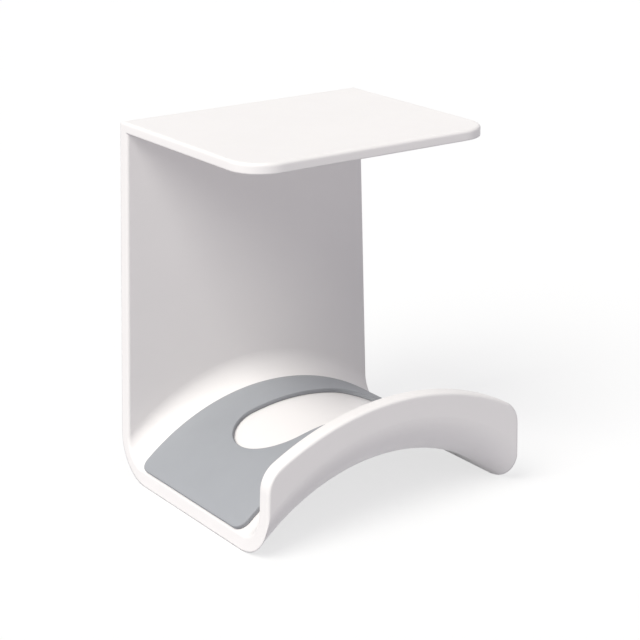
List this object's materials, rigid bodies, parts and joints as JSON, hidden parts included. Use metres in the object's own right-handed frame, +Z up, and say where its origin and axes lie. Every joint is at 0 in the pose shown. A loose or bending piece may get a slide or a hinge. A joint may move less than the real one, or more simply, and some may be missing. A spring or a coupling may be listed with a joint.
{
  "type": "headphone hanger",
  "caption": "Under-desk headphone hanger: flat fixing plate, back wall, arched saddle with a soft windowed pad, and an upturned front lip.",
  "frame": {"origin": "middle of the plate's top face, which fastens against the underside of a desk", "axes": "+X runs along the desk edge, +Y points from the lip towards the back wall, +Z points up out of the plate's top face"},
  "size_m": [0.0754, 0.0649, 0.0899],
  "materials": {
    "bracket": "satin",
    "pad": "matte"
  },
  "bodies": {
    "root": {"bracket": "bracket", "pad": "pad"}
  },
  "joints": []
}
